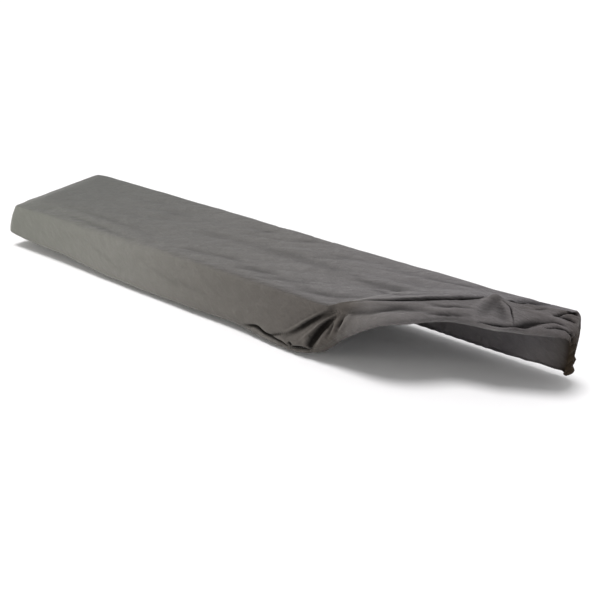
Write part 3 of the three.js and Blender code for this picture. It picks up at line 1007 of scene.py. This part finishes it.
def add_attribute(tree, name):
    attribute = tree.nodes.new("ShaderNodeAttribute")
    attribute.attribute_name = name
    return attribute.outputs["Fac"]


def add_range(tree, value, source, target):
    """A value moved from one range to another, and kept inside it."""
    span = tree.nodes.new("ShaderNodeMapRange")
    span.inputs["From Min"].default_value, span.inputs["From Max"].default_value = source
    span.inputs["To Min"].default_value, span.inputs["To Max"].default_value = target
    tree.links.new(value, span.inputs["Value"])
    return span.outputs["Result"]


def multiply_values(tree, first, second):
    product = tree.nodes.new("ShaderNodeMath")
    product.operation = "MULTIPLY"
    tree.links.new(first, product.inputs[0])
    tree.links.new(second, product.inputs[1])
    return product.outputs["Value"]


def multiply_colours(tree, first, second):
    mix = tree.nodes.new("ShaderNodeMix")
    mix.data_type = "RGBA"
    mix.blend_type = "MULTIPLY"
    mix.inputs["Factor"].default_value = 1
    tree.links.new(first, mix.inputs["A"])
    tree.links.new(second, mix.inputs["B"])
    return mix.outputs["Result"]


def new_material(name):
    """A new material with its tree of nodes and its shader."""
    material = bpy.data.materials.new(name)
    material.use_nodes = True
    return material, material.node_tree, material.node_tree.nodes["Principled BSDF"]


def knit_material():
    """Grey stretch knit: tone that shifts along the length, mottled yarn, painted shade in creases and
    painted highlights on ridges, painted warm shade, wales and courses.
    """
    material, tree, shader = new_material("knit")
    shader.inputs["Sheen Roughness"].default_value = SHEEN_ROUGHNESS
    place = tree.nodes.new("ShaderNodeTexCoord")
    flat, solid = place.outputs["UV"], place.outputs["Object"]
    shading_amount, warm_shade_amount = add_attribute(tree, "painted_shading"), add_attribute(tree, "painted_warm_shade")
    split = tree.nodes.new("ShaderNodeSeparateXYZ")
    tree.links.new(solid, split.inputs["Vector"])
    span = add_range(tree, split.outputs["X"], (LEFT * MM, RIGHT * MM), (0, 1))

    colour = add_ramp(tree, span, LENGTH_TONES)
    layers = [
        (add_noise(tree, solid, **MOTTLE_NOISE), MOTTLE_TONES),
        (add_noise(tree, solid, **YARN_NOISE), YARN_TONES),
        # painted shade in hollows with painted highlights on ridges, then painted shade with a painted warm
        # reflection
        (shading_amount, PAINTED_SHADING_TONES),
        (warm_shade_amount, WARM_SHADE_TONES),
    ]
    for factor, tones in layers:
        colour = multiply_colours(tree, colour, add_ramp(tree, factor, tones))
    tree.links.new(colour, shader.inputs["Base Color"])

    # Painted shade: sheen and gloss fade out in hollows and down to a share under the painted warm shade
    gloss_outside_shade = add_range(tree, shading_amount, (FLAT_SHADING, 1), (OPEN_GLOSS, 0))
    gloss_outside_warm_shade = add_range(tree, warm_shade_amount, (0, 1), (1, WARM_SHADE_GLOSS))
    gloss = multiply_values(tree, gloss_outside_shade, gloss_outside_warm_shade)
    tree.links.new(gloss, shader.inputs["Sheen Weight"])
    tree.links.new(gloss, shader.inputs["Specular IOR Level"])
    roughness = add_range(tree, add_noise(tree, solid, **ROUGHNESS_NOISE), (0, 1), ROUGHNESS)
    tree.links.new(roughness, shader.inputs["Roughness"])

    drawn = tree.nodes.new("ShaderNodeMapping")
    drawn.vector_type = "TEXTURE"
    drawn.inputs["Rotation"].default_value = (0, CRINKLE_SLOPE, DRAWN_ANGLE)
    drawn.inputs["Scale"].default_value = CRINKLE_SIZE
    tree.links.new(solid, drawn.inputs["Vector"])
    crinkle = add_bump(tree, add_noise(tree, drawn.outputs["Vector"], **CRINKLE_NOISE), CRINKLE_HEIGHT)
    tree.links.new(add_range(tree, span, (0, 1), CRINKLE_STRENGTH), crinkle.inputs["Strength"])
    loops = multiply_values(tree, add_bands(tree, flat, "X", WALE), add_bands(tree, flat, "Y", COURSE))
    knit = add_bump(tree, loops, LOOP_HEIGHT)
    knit.inputs["Strength"].default_value = LOOP_STRENGTH
    tree.links.new(crinkle.outputs["Normal"], knit.inputs["Normal"])
    tree.links.new(knit.outputs["Normal"], shader.inputs["Normal"])
    return material


def thread_material():
    """Dark matt sewing thread with a fine twist."""
    material, tree, shader = new_material("thread")
    shader.inputs["Roughness"].default_value = THREAD_ROUGHNESS
    place = tree.nodes.new("ShaderNodeTexCoord").outputs["Object"]
    tone = add_ramp(tree, add_noise(tree, place, **TWIST_NOISE), THREAD_TONES)
    tree.links.new(tone, shader.inputs["Base Color"])
    return material


def floor_material():
    material, _, shader = new_material("floor")
    shader.inputs["Base Color"].default_value = FLOOR_TONE
    shader.inputs["Roughness"].default_value = FLOOR_ROUGHNESS
    return material


def add_stage():
    """A round pale floor that sweeps up all round, far from the object."""
    turn = np.linspace(0, 2 * math.pi, FLOOR_SIDES, endpoint=False)
    sweep = np.linspace(0, math.pi / 2, SWEEP_STEPS)
    radius = np.concatenate([FLOOR_RINGS, FLOOR_RADIUS + SWEEP_RADIUS * np.sin(sweep)])
    height = np.concatenate([np.zeros(len(FLOOR_RINGS)), SWEEP_RADIUS * (1 - np.cos(sweep))])
    rings = np.stack([
        radius[:, None] * np.cos(turn),
        radius[:, None] * np.sin(turn),
        np.repeat(height[:, None], FLOOR_SIDES, 1),
    ], -1)
    places = np.concatenate([rings.reshape(-1, 3), [[0, 0, 0]]])
    numbers = np.arange(rings[..., 0].size).reshape(len(radius), FLOOR_SIDES)
    numbers = np.concatenate([numbers, numbers[:, :1]], 1)
    middle = len(places) - 1
    faces = grid_quads(numbers).tolist()
    faces += [[middle, first, second] for first, second in zip(numbers[0], numbers[0, 1:])]
    floor = add_mesh("floor", places, faces, floor_material())
    floor.location.z = FLOOR_HEIGHT


def add_sun(name, aim, angle, strength, colour):
    data = bpy.data.lights.new(name, "SUN")
    data.color = colour
    data.angle = angle
    data.energy = strength
    add_object(data).rotation_euler = Vector(aim).to_track_quat("-Z", "Y").to_euler()


def add_panel(name, place, aim, size, power, colour):
    data = bpy.data.lights.new(name, "AREA")
    data.color = colour
    data.shape = "DISK"
    data.size = size
    data.energy = power
    light = add_object(data)
    light.location = place
    light.rotation_euler = (Vector(aim) - Vector(place)).to_track_quat("-Z", "Y").to_euler()


def add_lights():
    """A bright room, a soft sun overhead, and a small panel low in front of the left end."""
    world = bpy.data.worlds.new("studio")
    world.use_nodes = True
    background = world.node_tree.nodes["Background"]
    background.inputs["Color"].default_value = ROOM_TONE
    background.inputs["Strength"].default_value = ROOM_STRENGTH
    bpy.context.scene.world = world
    add_sun("overhead", **OVERHEAD)
    add_panel("front_panel", **FRONT_PANEL)


add_camera()
sheet = shape_sheet()
declare_pieces(make_cover(sheet), make_stitches(sheet))
add_stage()
add_lights()
bpy.context.scene.view_settings.view_transform = "Standard"
